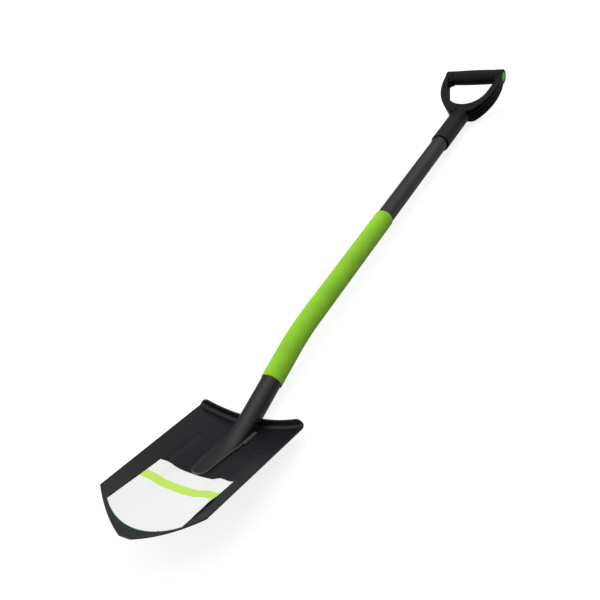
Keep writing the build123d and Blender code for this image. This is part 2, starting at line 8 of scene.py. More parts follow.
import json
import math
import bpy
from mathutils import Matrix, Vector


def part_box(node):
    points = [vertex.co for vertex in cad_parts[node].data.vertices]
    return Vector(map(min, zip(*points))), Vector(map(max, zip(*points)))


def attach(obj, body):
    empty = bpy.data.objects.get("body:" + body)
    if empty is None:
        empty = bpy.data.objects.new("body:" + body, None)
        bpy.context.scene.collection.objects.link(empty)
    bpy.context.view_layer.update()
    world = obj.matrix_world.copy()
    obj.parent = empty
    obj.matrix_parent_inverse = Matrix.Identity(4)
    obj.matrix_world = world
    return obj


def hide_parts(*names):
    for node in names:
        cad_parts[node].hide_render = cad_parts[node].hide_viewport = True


bl_info = {
    "name": "Pointed spade looks",
    "version": (1, 0, 0),
    "blender": (4, 5, 0),
    "location": "View3D > Sidebar > Spade",
    "description": "Finishes, weld beads, sticker, screw and studio for a pointed spade",
    "category": "Object",
}

import bmesh
import bpy
from bpy.props import FloatProperty, FloatVectorProperty, IntProperty, PointerProperty
from mathutils import Matrix, Vector

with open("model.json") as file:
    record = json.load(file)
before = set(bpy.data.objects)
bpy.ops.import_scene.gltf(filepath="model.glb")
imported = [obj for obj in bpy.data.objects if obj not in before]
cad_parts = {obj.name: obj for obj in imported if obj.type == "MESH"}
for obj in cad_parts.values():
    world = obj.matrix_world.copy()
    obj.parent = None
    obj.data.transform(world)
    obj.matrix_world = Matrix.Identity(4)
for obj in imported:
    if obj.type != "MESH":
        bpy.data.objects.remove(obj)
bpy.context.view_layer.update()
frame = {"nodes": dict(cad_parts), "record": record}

MM = 0.001

# Blade, in blade axes
SHEET = 2.0 * MM
HALF_SPAN = 93.0 * MM
DISH_DEPTH = 17.5 * MM
DISH_RADIUS = (HALF_SPAN ** 2 + DISH_DEPTH ** 2) / (2.0 * DISH_DEPTH)
RIB_X = 53.0 * MM
RIB_HALF_WIDTH = 8.0 * MM
RIB_HEIGHT = 1.6 * MM
RIB_END = -190.0 * MM
TREAD_SEAT = Vector((55.0 * MM, SHEET, 14.9915 * MM))     # the right tread's mount

# Tongue and its welds, in blade axes; a strand has its X, and the Y where it starts and ends
TUBE_RADIUS = 16.0 * MM
TONGUE_SPREAD = 1.5 * MM
TONGUE_TAPER_AT = -55.0 * MM
TONGUE_TIP_AT = -122.0 * MM
TONGUE_TIP_RADIUS = 12.0 * MM
RIGHT_STRANDS = ((18.6 * MM, -20.0 * MM, -64.0 * MM), (21.9 * MM, -20.5 * MM, -48.0 * MM))
LEFT_STRANDS = ((-18.2 * MM, -20.0 * MM, -64.0 * MM),)
SIDE_BEAD_LIFT = 0.9 * MM
TONGUE_BEAD_LIFT = 0.8 * MM
TIP_BEAD_OUT = 0.3 * MM
TIP_BEAD_LIFT = 0.4 * MM
TIP_BEAD_FROM = -15.0       # degrees
TIP_BEAD_SWEEP = -150.0     # degrees
TREAD_BEAD_X = 16.6 * MM
TREAD_BEAD_Y = -0.8 * MM
TREAD_BEAD_FROM = 3.0 * MM
TREAD_BEAD_TO = 10.0 * MM

# Sticker, in blade axes; the tents and the loose edge are given as Y and height off the face
LABEL_TOP = -136.1 * MM
LABEL_SHIFT = 4.2 * MM
LABEL_TURN = math.radians(-3.0)
LABEL_WIDTH = 132.6 * MM
LABEL_SIDE = 100.5 * MM
LABEL_SAG = 21.4 * MM
LABEL_ARC = (LABEL_WIDTH ** 2 / 4.0 + LABEL_SAG ** 2) / (2.0 * LABEL_SAG)
LABEL_FILM = 0.3 * MM
LABEL_GLUE = 0.2 * MM
LEFT_TENT_X = -46.0 * MM
LEFT_TENT_REACH = 20.0 * MM
LEFT_TENT = ((-214.0 * MM, 0.0), (-190.0 * MM, 1.3 * MM), (-170.0 * MM, 2.1 * MM), (-133.0 * MM, 3.3 * MM))
RIGHT_TENT_X = 48.0 * MM
RIGHT_TENT_REACH = 19.0 * MM
RIGHT_TENT = ((-216.0 * MM, 0.0), (-192.0 * MM, 1.8 * MM), (-170.0 * MM, 2.6 * MM), (-138.0 * MM, 3.8 * MM))
TENT_SOFTNESS = 0.5 * MM
LOOSE_EDGE_FROM = 46.0 * MM
LOOSE_EDGE_TO = 68.0 * MM
LOOSE_EDGE = ((-228.0 * MM, 0.0), (-214.0 * MM, 0.9 * MM), (-200.0 * MM, 1.3 * MM), (-187.0 * MM, 2.1 * MM),
              (-174.0 * MM, 0.2 * MM), (-150.0 * MM, 0.0))
NICK_AT = 38.5 * MM
NICK_HALF_WIDTH = 1.2 * MM
NICK_DEPTH = 2.0 * MM

# Screw at the back of the grip's socket; its side is given as radius and height from the head
SCREW_FROM_SEAT = 183.7 * MM
SOCKET_RADIUS = 19.0 * MM
SCREW_HEAD = 3.8 * MM
SCREW_SIDE = ((3.7 * MM, -0.1 * MM), (2.0 * MM, -1.8 * MM), (2.0 * MM, -9.0 * MM), (0.3 * MM, -10.9 * MM))
RECESS_REACH = 2.2 * MM
RECESS_HALF_WIDTH = 0.5 * MM
RECESS_DEPTH = 1.2 * MM
RECESS_RISE = 0.7
SCREW_POINT = 0.1 * MM

# Unevenness of the weld beads: pitch of the ripples, and how far the width swings as a share of it
THIN_PITCH = 1.8 * MM
THIN_SWING = 0.1
THICK_PITCH = 2.4 * MM
THICK_SWING = 0.14
SHORT_SWING = 0.07
RIPPLE_SHARE = 0.35
SWELLS_PER_METRE = 160.0
DROPS_PER_RIPPLE = 8.0
SKIN_THRESHOLD = 0.5

# Grip's moulding
SOCKET_LENGTH = 88.0 * MM
SOCKET_BLEND = 14.0 * MM

# Patterns shared by the finishes: the part of a noise that counts, and the swing of the roughness
NOISE_RANGE = (0.3, 0.7)
CLOUD_RANGE = (0.35, 0.65)
SHEEN_SWING = 0.04

# Powder coat; clouds, sheen, peel and the painted highlight's patches are in features per metre
PALE_EDGE_LIKENESS = (0.82, 0.98)    # likeness of the rounded and the true normal, at a fully pale edge and at none
# A painted highlight, paler in patches towards the blade's point, stands in for the sheen of light there
HIGHLIGHT_BELOW_HEEL = 135.0 * MM
HIGHLIGHT_ABOVE_POINT = 10.0 * MM
HIGHLIGHT_PATCHES = 40.0
HIGHLIGHT_LEAST = 0.75
COAT_CLOUDS = 11.0
COAT_TONE_SWING = 0.12
COAT_SHEEN = 23.0
COAT_PEEL = 900.0
COAT_PEEL_DEPTH = 0.04 * MM

# Plastics; clouds, sheen and grain are in features per metre
PLASTIC_CLOUDS = 17.0
PLASTIC_TONE_SWING = 0.06
PLASTIC_SHEEN = 31.0
SLEEVE_FINISH = {"roughness": 0.5, "specular": 0.15, "grain": 1200.0, "depth": 0.03 * MM, "matt": 0.6}
ROLL_FINISH = {"roughness": 0.6, "specular": 0.17, "grain": 1500.0, "depth": 0.06 * MM}
PLUG_FINISH = {"roughness": 0.45, "specular": 0.2, "grain": 1500.0, "depth": 0.03 * MM}
YOKE_ROUGHNESS = 0.36
YOKE_SOCKET_ROUGHNESS = 0.3
YOKE_ARM_ROUGHNESS = 0.38
YOKE_SPECULAR = 0.11
YOKE_GRAIN = 1500.0
YOKE_GRAIN_DEPTH = 0.03 * MM

# Zinc of the screw; clouds and scratches are in features per metre
ZINC_ROUGHNESS = 0.35
ZINC_SPECULAR = 0.5
ZINC_CLOUDS = 700.0
ZINC_TINGE = (0.95, 0.92, 0.8)
ZINC_SCRATCHES = (4000.0, 300.0, 300.0)
ZINC_SCRATCH_DEPTH = 0.01 * MM

# Film of the sticker; its grain is in features per metre
FILM_SPECULAR = 0.5
FILM_GRAIN = 500.0
FILM_GRAIN_DEPTH = 0.02 * MM
PRINT_SOFTNESS = 0.3 * MM

# Stage
FLOOR_REACH = 10.0
FLOOR_ROUGHNESS = 0.9
SENSOR_WIDTH = 36.0         # millimetres

# Studio: azimuth, elevation and half width of each soft light in degrees, then its brightness
STUDIO = (
    (0.0, 90.0, 40.0, 1.38),
    (45.0, 45.0, 38.0, 1.12),
    (90.0, 45.0, 38.0, 0.83),
    (120.0, 60.0, 30.0, 0.6),
    (180.0, 45.0, 38.0, 0.7),
    (225.0, 45.0, 38.0, 1.25),
    (229.0, 26.0, 22.0, 2.0),
    (45.0, 8.0, 32.0, 0.5),
    (135.0, 8.0, 32.0, 0.24),
    (45.0, -32.0, 36.0, 0.55),
    (135.0, -32.0, 36.0, 0.77),
    (0.0, -90.0, 50.0, 0.3),
    (245.0, 2.0, 30.0, 1.2),
)


def mount(name):
    """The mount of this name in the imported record."""
    return next(entry for entry in frame["record"]["mounts"] if entry["name"] == name)


def blade_matrix():
    """Where the blade axes lie in the frame, from the right tread's mount."""
    tread = mount("tread_right")
    along = Vector(tread["axis"]).normalized()
    across = Vector((1.0, 0.0, 0.0))
    out = across.cross(along)
    turn = Matrix((across, along, out)).transposed()
    heel = Vector(tread["pos_m"]) - turn @ TREAD_SEAT
    return Matrix.Translation(heel) @ turn.to_4x4()


BLADE = blade_matrix()


def face_height(x):
    """Height of the blade's dished face at this distance from its middle."""
    return DISH_RADIUS - math.sqrt(DISH_RADIUS ** 2 - x ** 2)


def smooth_step(start, end, value):
    """0 at start, 1 at end, eased at both."""
    share = (value - start) / (end - start)
    share = min(max(share, 0.0), 1.0)
    return share * share * (3.0 - 2.0 * share)


def ramp(points, value):
    """Straight lines through the (place, height) points, level beyond them."""
    if value <= points[0][0]:
        return points[0][1]
    for (start, low), (end, high) in zip(points, points[1:]):
        if value <= end:
            return low + (high - low) * (value - start) / (end - start)
    return points[-1][1]


class Nodes:
    """A node tree under construction."""

    def __init__(self, tree):
        self.tree = tree

    def add(self, kind, inputs=None, **settings):
        """A new node with its settings, and its inputs set or linked by name or number."""
        node = self.tree.nodes.new(kind)
        for name, value in settings.items():
            setattr(node, name, value)
        for key, value in (inputs or {}).items():
            if isinstance(value, bpy.types.NodeSocket):
                self.tree.links.new(value, node.inputs[key])
            else:
                node.inputs[key].default_value = value
        return node

    def maths(self, operation, first, second=0.0):
        """The result of a maths node on two numbers or sockets."""
        return self.add("ShaderNodeMath", {0: first, 1: second}, operation=operation).outputs[0]

    def mixed(self, share, first, second):
        """Two colours mixed by a share."""
        node = self.add("ShaderNodeMix", {0: share, 6: first, 7: second}, data_type="RGBA")
        return node.outputs[2]

    def spread(self, value, low, high, to_low, to_high):
        """A value moved from one range to another."""
        names = ("Value", "From Min", "From Max", "To Min", "To Max")
        node = self.add("ShaderNodeMapRange", dict(zip(names, (value, low, high, to_low, to_high))))
        return node.outputs["Result"]

    def noise(self, place, scale, detail):
        """Noise from 0 to 1 with so many features per metre."""
        inputs = {"Vector": place, "Scale": scale, "Detail": detail}
        return self.add("ShaderNodeTexNoise", inputs).outputs[0]

    def clouds(self, noise, counted, low, high):
        """Clouds from low to high, made of the part of a noise that counts."""
        return self.spread(noise, *counted, low, high)

    def tones(self, share, colour, swing):
        """A colour that swings from a little darker to a little paler."""
        dark = [part * (1.0 - swing) for part in colour]
        pale = [part * (1.0 + swing) for part in colour]
        return self.mixed(share, shade(dark), shade(pale))

    def feed(self, socket, node, name):
        """Link a socket to an input of a node."""
        self.tree.links.new(socket, node.inputs[name])


def shade(colour):
    """A colour of three numbers with full alpha."""
    return (*colour, 1.0)


def new_material(name, colour, roughness, specular):
    """A material, its nodes, its shader and its object coordinates."""
    material = bpy.data.materials.new(name)
    material.use_nodes = True
    nodes = Nodes(material.node_tree)
    shader = material.node_tree.nodes["Principled BSDF"]
    shader.inputs["Base Color"].default_value = shade(colour)
    shader.inputs["Roughness"].default_value = roughness
    shader.inputs["Specular IOR Level"].default_value = specular
    place = nodes.add("ShaderNodeTexCoord").outputs["Object"]
    return material, nodes, shader, place


def put_bump(nodes, shader, height, depth, round_off=0.0):
    """Roughen a shader by a height field that is this deep, over creases that are softened this far."""
    inputs = {"Height": height, "Distance": depth}
    if round_off:
        inputs["Normal"] = nodes.add("ShaderNodeBevel", {"Radius": round_off}, samples=8).outputs[0]
    nodes.feed(nodes.add("ShaderNodeBump", inputs).outputs[0], shader, "Normal")


def sharp_edges(nodes, reach):
    """1 on sharp edges and 0 elsewhere, from how far a rounded normal leaves the true one."""
    rounded = nodes.add("ShaderNodeBevel", {"Radius": reach}, samples=4).outputs[0]
    true = nodes.add("ShaderNodeNewGeometry").outputs["Normal"]
    alike = nodes.add("ShaderNodeVectorMath", {0: rounded, 1: true}, operation="DOT_PRODUCT")
    return nodes.spread(alike.outputs["Value"], *PALE_EDGE_LIKENESS, 1.0, 0.0)


def coat_material(settings, name, colour, specular, pale_edges=True, round_off=0.0, painted_highlight=None):
    """Charcoal powder coat: fine orange peel, faint clouds of sheen, and pale sharp edges that are partly
    thin coat and partly painted highlight.

    The painted highlight argument says where along the spade a painted highlight starts, where it is full,
    and its colour there; it stands in for sheen.
    """
    material, nodes, shader, place = new_material(name, colour, settings.coat_roughness, specular)
    cloud = nodes.clouds(nodes.noise(place, COAT_CLOUDS, 3.0), CLOUD_RANGE, 0.0, 1.0)
    tone = nodes.tones(cloud, colour, COAT_TONE_SWING)
    # A painted highlight: the coat is made paler in patches along the spade, standing in for sheen
    if painted_highlight:
        start, end, highlight_colour = painted_highlight
        along = nodes.add("ShaderNodeSeparateXYZ", {0: place}).outputs["Y"]
        near = nodes.spread(along, start, end, 0.0, 1.0)
        patchy = nodes.clouds(nodes.noise(place, HIGHLIGHT_PATCHES, 4.0), NOISE_RANGE, HIGHLIGHT_LEAST, 1.0)
        tone = nodes.mixed(nodes.maths("MULTIPLY", near, patchy), tone, shade(highlight_colour))
    # Sharp edges are made paler: partly thin, worn coat, partly a painted highlight where they catch light
    if pale_edges:
        thin = nodes.maths("MULTIPLY", sharp_edges(nodes, settings.edge_reach), settings.edge_wear_and_highlight)
        tone = nodes.mixed(thin, tone, shade(settings.edge_wear_and_highlight_colour))
    nodes.feed(tone, shader, "Base Color")
    low = settings.coat_roughness - SHEEN_SWING
    high = settings.coat_roughness + SHEEN_SWING
    sheen = nodes.clouds(nodes.noise(place, COAT_SHEEN, 3.0), NOISE_RANGE, low, high)
    nodes.feed(sheen, shader, "Roughness")
    put_bump(nodes, shader, nodes.noise(place, COAT_PEEL, 2.0), COAT_PEEL_DEPTH, round_off)
    return material


def plastic_material(name, colour, roughness, specular, grain, depth, matt=0.0):
    """Moulded plastic with a fine grain and a slightly uneven tone and sheen, hard or matt as foam."""
    material, nodes, shader, place = new_material(name, colour, roughness, specular)
    shader.inputs["Diffuse Roughness"].default_value = matt
    cloud = nodes.clouds(nodes.noise(place, PLASTIC_CLOUDS, 3.0), CLOUD_RANGE, 0.0, 1.0)
    nodes.feed(nodes.tones(cloud, colour, PLASTIC_TONE_SWING), shader, "Base Color")
    low = roughness - SHEEN_SWING
    high = roughness + SHEEN_SWING
    sheen = nodes.clouds(nodes.noise(place, PLASTIC_SHEEN, 2.0), NOISE_RANGE, low, high)
    nodes.feed(sheen, shader, "Roughness")
    put_bump(nodes, shader, nodes.noise(place, grain, 3.0), depth)
    return material


def yoke_material(settings):
    """Black moulding with a fine grain, smoother along its socket, where a paler colour is a painted
    highlight.
    """
    material, nodes, shader, place = new_material(
        "black_plastic", settings.grip_colour, YOKE_ROUGHNESS, YOKE_SPECULAR)
    along = nodes.add("ShaderNodeSeparateXYZ", {0: place}).outputs["Y"]
    arms = nodes.spread(along, settings.socket_end - SOCKET_BLEND, settings.socket_end, 0.0, 1.0)
    # Paler along the socket: a painted highlight
    colour = nodes.mixed(arms, shade(settings.socket_highlight_colour), shade(settings.grip_colour))
    nodes.feed(colour, shader, "Base Color")
    sheen = nodes.clouds(nodes.noise(place, PLASTIC_SHEEN, 2.0), NOISE_RANGE, -SHEEN_SWING, SHEEN_SWING)
    smooth = nodes.spread(arms, 0.0, 1.0, YOKE_SOCKET_ROUGHNESS, YOKE_ARM_ROUGHNESS)
    nodes.feed(nodes.maths("ADD", smooth, sheen), shader, "Roughness")
    put_bump(nodes, shader, nodes.noise(place, YOKE_GRAIN, 3.0), YOKE_GRAIN_DEPTH)
    return material


def steel_material(settings):
    """Bright zinc with a faint yellow tinge and fine scratches across the head."""
    zinc = settings.screw_colour
    material, nodes, shader, place = new_material("plain_steel", zinc, ZINC_ROUGHNESS, ZINC_SPECULAR)
    shader.inputs["Metallic"].default_value = 1.0
    cloud = nodes.clouds(nodes.noise(place, ZINC_CLOUDS, 2.0), NOISE_RANGE, 0.0, 1.0)
    tinged = [part * tint for part, tint in zip(zinc, ZINC_TINGE)]
    nodes.feed(nodes.mixed(cloud, shade(zinc), shade(tinged)), shader, "Base Color")
    drawn = nodes.add("ShaderNodeVectorMath", {0: place, 1: ZINC_SCRATCHES}, operation="MULTIPLY")
    put_bump(nodes, shader, nodes.noise(drawn.outputs[0], 1.0, 2.0), ZINC_SCRATCH_DEPTH)
    return material


def label_material(settings):
    """White film with a plain stripe across it and a thin teal line along its round edge, by its own UV maps
    in metres.
    """
    material, nodes, shader, place = new_material(
        "sticker_film", settings.film_colour, settings.film_roughness, FILM_SPECULAR)
    down = nodes.add("ShaderNodeUVMap", uv_map="label").outputs["UV"]
    reach = nodes.add("ShaderNodeSeparateXYZ", {0: down}).outputs["Y"]
    top = settings.stripe_top
    end = settings.stripe_top + settings.stripe_width
    soft = PRINT_SOFTNESS
    entering = nodes.spread(reach, top - soft, top + soft, 0.0, 1.0)
    leaving = nodes.spread(reach, end - soft, end + soft, 1.0, 0.0)
    stripe = nodes.maths("MULTIPLY", entering, leaving)
    colour = nodes.mixed(stripe, shade(settings.film_colour), shade(settings.stripe_colour))
    margins = nodes.add("ShaderNodeUVMap", uv_map="margin").outputs["UV"]
    below = nodes.add("ShaderNodeSeparateXYZ", {0: margins}).outputs["Y"]
    border = nodes.spread(below, settings.border_width, settings.border_width + soft, 1.0, 0.0)
    colour = nodes.mixed(border, colour, shade(settings.border_colour))
    nodes.feed(colour, shader, "Base Color")
    put_bump(nodes, shader, nodes.noise(place, FILM_GRAIN, 2.0), FILM_GRAIN_DEPTH)
    return material


def dress(node, material):
    """Put one material on a CAD node."""
    slots = frame["nodes"][node].data.materials
    slots.clear()
    slots.append(material)


def new_object(name, mesh):
    """An object for a mesh, in the scene."""
    piece = bpy.data.objects.new(name, mesh)
    bpy.context.scene.collection.objects.link(piece)
    return piece


def plain(piece):
    """Turn an object's modifiers into its plain mesh."""
    bpy.context.view_layer.update()
    ready = piece.evaluated_get(bpy.context.evaluated_depsgraph_get())
    mesh = bpy.data.meshes.new_from_object(ready)
    piece.modifiers.clear()
    piece.data = mesh


def hand_over(piece, slot, *replaced):
    """Fasten a piece to the part in place of its CAD nodes; the slot is not used."""
    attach(piece, "root")
    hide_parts(*replaced)


WELD_INPUTS = (
    ("Pitch", "NodeSocketFloat"),
    ("Width", "NodeSocketFloat"),
    ("Unevenness", "NodeSocketFloat"),
    ("Grain", "NodeSocketFloat"),
    ("Seed", "NodeSocketInt"),
    ("Material", "NodeSocketMaterial"),
)


def bead_radius(nodes, given):
    """Radius along a bead: ripples a pitch apart, and uneven swelling."""
    at = nodes.add("GeometryNodeSplineParameter").outputs["Length"]
    turns = nodes.maths("DIVIDE", nodes.maths("MULTIPLY", at, 2.0 * math.pi), given["Pitch"])
    ripple = nodes.maths("MULTIPLY", nodes.maths("SINE", turns), RIPPLE_SHARE)
    spot = nodes.add("GeometryNodeInputPosition").outputs[0]
    inputs = {"Vector": spot, "W": given["Seed"], "Scale": SWELLS_PER_METRE, "Detail": 1.0}
    swell = nodes.add("ShaderNodeTexNoise", inputs, noise_dimensions="4D").outputs[0]
    uneven = nodes.maths("ADD", ripple, nodes.clouds(swell, NOISE_RANGE, -1.0, 1.0))
    size = nodes.maths("ADD", nodes.maths("MULTIPLY", uneven, given["Unevenness"]), 1.0)
    return nodes.maths("MULTIPLY", nodes.maths("MULTIPLY", given["Width"], 0.5), size)


def weld_tree():
    """Nodes that run an uneven bead along each path: close drops fused into one skin."""
    tree = bpy.data.node_groups.new("weld_bead", "GeometryNodeTree")
    tree.interface.new_socket("Geometry", in_out="INPUT", socket_type="NodeSocketGeometry")
    for name, kind in WELD_INPUTS:
        tree.interface.new_socket(name, in_out="INPUT", socket_type=kind)
    tree.interface.new_socket("Geometry", in_out="OUTPUT", socket_type="NodeSocketGeometry")
    nodes = Nodes(tree)
    given = nodes.add("NodeGroupInput").outputs
    path = nodes.add("GeometryNodeMeshToCurve", {"Mesh": given["Geometry"]}).outputs[0]
    step = nodes.maths("DIVIDE", given["Pitch"], DROPS_PER_RIPPLE)
    path = nodes.add("GeometryNodeResampleCurve", {"Curve": path, "Length": step}, mode="LENGTH").outputs[0]
    sized = nodes.add("GeometryNodeSetCurveRadius", {"Curve": path, "Radius": bead_radius(nodes, given)})
    drops = nodes.add("GeometryNodeCurveToPoints", {"Curve": sized.outputs[0]}, mode="EVALUATED").outputs[0]
    radius = nodes.add("GeometryNodeInputRadius").outputs[0]
    fused = {"Points": drops, "Density": 1.0, "Voxel Size": given["Grain"], "Radius": radius}
    body = nodes.add("GeometryNodePointsToVolume", fused, resolution_mode="VOXEL_SIZE").outputs[0]
    skin = nodes.add("GeometryNodeVolumeToMesh", {"Volume": body, "Threshold": SKIN_THRESHOLD}).outputs[0]
    soft = nodes.add("GeometryNodeSetShadeSmooth", {"Geometry": skin}).outputs[0]
    whole = nodes.add("GeometryNodeRealizeInstances", {"Geometry": soft}).outputs[0]
    coated = {"Geometry": whole, "Material": given["Material"]}
    dressed = nodes.add("GeometryNodeSetMaterial", coated).outputs[0]
    nodes.add("NodeGroupOutput", {"Geometry": dressed})
    return tree


def run_bead(name, strands, tree, values, replaced):
    """A weld bead along one or more paths of points in blade axes."""
    points = []
    edges = []
    for strand in strands:
        first = len(points)
        points += strand
        edges += [(at, at + 1) for at in range(first, len(points) - 1)]
    mesh = bpy.data.meshes.new(name)
    mesh.from_pydata(points, edges, [])
    piece = new_object(name, mesh)
    modifier = piece.modifiers.new("bead", "NODES")
    modifier.node_group = tree
    for socket in tree.interface.items_tree:
        if socket.name in values:
            modifier[socket.identifier] = values[socket.name]
    plain(piece)
    piece.data.transform(BLADE)
    piece.data.update()
    hand_over(piece, "powder_coat", replaced)


def straight(start, end, steps=12):
    """Points on a straight line, both ends among them."""
    return [start.lerp(end, step / steps) for step in range(steps + 1)]


def tongue_outline(steps=40):
    """The tongue's edge from its right shoulder round its tip to its left one, just over the face."""
    reach = TONGUE_TAPER_AT - TONGUE_TIP_AT
    spread = TUBE_RADIUS + TONGUE_SPREAD
    slope = math.asin((spread - TONGUE_TIP_RADIUS) / reach)
    right = [Vector((spread * math.cos(slope), TONGUE_TAPER_AT - spread * math.sin(slope), 0.0))]
    for step in range(steps + 1):
        angle = -slope - (math.pi / 2 - slope) * step / steps
        x = TONGUE_TIP_RADIUS * math.cos(angle)
        y = TONGUE_TIP_AT + TONGUE_TIP_RADIUS * math.sin(angle)
        right.append(Vector((x, y, 0.0)))
    left = [Vector((-point.x, point.y, 0.0)) for point in reversed(right[:-1])]
    edge = right + left
    return [Vector((point.x, point.y, face_height(point.x) + TONGUE_BEAD_LIFT)) for point in edge]


def tip_arc(steps=24):
    """A second pass round the tongue's tip, just outside the first."""
    radius = TONGUE_TIP_RADIUS + TIP_BEAD_OUT
    points = []
    for step in range(steps + 1):
        angle = math.radians(TIP_BEAD_FROM + TIP_BEAD_SWEEP * step / steps)
        x = radius * math.cos(angle)
        y = TONGUE_TIP_AT + radius * math.sin(angle)
        points.append(Vector((x, y, face_height(x) + TIP_BEAD_LIFT)))
    return points


def bump(away, reach):
    """A rounded bump: 1 at its middle, 0 from its reach on."""
    share = min(abs(away) / reach, 1.0)
    return 0.5 * (1.0 + math.cos(math.pi * share))


def label_lift(x, y):
    """How far the film stands off the blade's face: over the ribs, in its tents and at its loose edge."""
    beyond = max(RIB_END + RIB_HALF_WIDTH - y, 0.0)
    rib = RIB_HEIGHT * bump(math.hypot(abs(x) - RIB_X, beyond), RIB_HALF_WIDTH)
    if x > 0.0:
        tent = ramp(RIGHT_TENT, y) * bump(x - RIGHT_TENT_X, RIGHT_TENT_REACH)
    else:
        tent = ramp(LEFT_TENT, y) * bump(x - LEFT_TENT_X, LEFT_TENT_REACH)
    apart = math.sqrt((rib - tent) ** 2 + TENT_SOFTNESS ** 2) - TENT_SOFTNESS
    higher = 0.5 * (rib + tent + apart)
    loose = ramp(LOOSE_EDGE, y) * smooth_step(LOOSE_EDGE_FROM, LOOSE_EDGE_TO, x)
    return LABEL_GLUE + higher + loose


def label_length(across):
    """Length of the film at this distance from its middle, down to its round edge with a small nick."""
    length = LABEL_SIDE + LABEL_SAG - LABEL_ARC + math.sqrt(LABEL_ARC ** 2 - across ** 2)
    return length - NICK_DEPTH * max(1.0 - abs(across - NICK_AT) / NICK_HALF_WIDTH, 0.0)


def label_point(across, down):
    """A place on the film from its own coordinates, in blade axes."""
    side = across + LABEL_SHIFT
    x = side * math.cos(LABEL_TURN) + down * math.sin(LABEL_TURN)
    y = LABEL_TOP + side * math.sin(LABEL_TURN) - down * math.cos(LABEL_TURN)
    return Vector((x, y, face_height(x) + label_lift(x, y) + LABEL_FILM))


def recess_depth(x, y):
    """Depth of the screw head's cross recess at this place: two slots that run out towards their ends."""
    near, far = sorted((abs(x), abs(y)))
    if near > RECESS_HALF_WIDTH or far > RECESS_REACH:
        return 0.0
    return RECESS_DEPTH * (1.0 - RECESS_RISE * far / RECESS_REACH)


class SpadeSteelSettings(bpy.types.PropertyGroup):
    coat_colour: FloatVectorProperty(
        name="Coat colour", description="Colour of the powder coat", subtype="COLOR",
        default=(0.005, 0.0052, 0.0078))
    coat_roughness: FloatProperty(
        name="Coat roughness", description="Roughness of the powder coat", subtype="FACTOR",
        min=0.0, max=1.0, default=0.36)
    coat_specular: FloatProperty(
        name="Coat specular", description="Strength of the powder coat's reflections", subtype="FACTOR",
        min=0.0, max=1.0, default=0.235)
    tube_colour: FloatVectorProperty(
        name="Tube colour", description="Colour of the shaft's powder coat", subtype="COLOR",
        default=(0.009, 0.0092, 0.0122))
    tube_specular: FloatProperty(
        name="Tube specular", description="Strength of the shaft's reflections", subtype="FACTOR",
        min=0.0, max=1.0, default=0.35)
    # Paler sharp edges: partly thin, worn coat, partly a painted highlight
    edge_wear_and_highlight_colour: FloatVectorProperty(
        name="Edge colour", description="Colour of the thin coat on sharp edges", subtype="COLOR",
        default=(0.12, 0.12, 0.12))
    edge_reach: FloatProperty(
        name="Edge reach", description="How far the thin coat reaches from an edge", subtype="DISTANCE",
        default=0.8 * MM)
    edge_wear_and_highlight: FloatProperty(
        name="Edge wear", description="Strength of the thin coat's tone", subtype="FACTOR",
        min=0.0, max=1.0, default=0.6)
    # A painted highlight towards the point, standing in for the sheen of light there
    highlight_colour: FloatVectorProperty(
        name="Rub colour", description="Colour of the coat where it is rubbed near the point",
        subtype="COLOR", default=(0.025, 0.025, 0.029))
    highlight_start: FloatProperty(
        name="Rub start", description="Where the rubbing starts along the spade", subtype="DISTANCE",
        default=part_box("blade")[1][1] - HIGHLIGHT_BELOW_HEEL)
    highlight_end: FloatProperty(
        name="Rub end", description="Where the coat is fully rubbed", subtype="DISTANCE",
        default=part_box("blade")[0][1] + HIGHLIGHT_ABOVE_POINT)
    round_off: FloatProperty(
        name="Round off", description="How far the coat softens the pressed creases", subtype="DISTANCE",
        default=3.0 * MM)
    screw_colour: FloatVectorProperty(
        name="Screw colour", description="Colour of the zinc on the screw", subtype="COLOR",
        default=(0.6, 0.6, 0.6))


class SpadeWeldSettings(bpy.types.PropertyGroup):
    seed: IntProperty(name="Seed", description="Seed of the beads' unevenness", default=3)
    grain: FloatProperty(
        name="Grain", description="Size of the smallest detail in a bead", subtype="DISTANCE",
        default=0.25 * MM)
    thick_width: FloatProperty(
        name="Thick width", description="Width of the thick beads' strands", subtype="DISTANCE",
        default=4.4 * MM)
    thin_width: FloatProperty(
        name="Thin width", description="Width of the thin beads", subtype="DISTANCE", default=3.3 * MM)
    # The beads' coat is paler than the blade's: a painted highlight where they catch light
    bead_highlight_colour: FloatVectorProperty(
        name="Bead colour", description="Colour of the coat over the beads", subtype="COLOR",
        default=(0.034, 0.034, 0.037))
    # A painted highlight at the tongue's tip, standing in for the bright crescent of light there
    tip_highlight_colour: FloatVectorProperty(
        name="Tip colour", description="Colour of the bead where it is rubbed at the tongue's tip",
        subtype="COLOR", default=(0.088, 0.084, 0.088))
    tip_highlight_reach: FloatProperty(
        name="Tip reach", description="How far the rubbing runs back from the tongue's tip",
        subtype="DISTANCE", default=17.0 * MM)


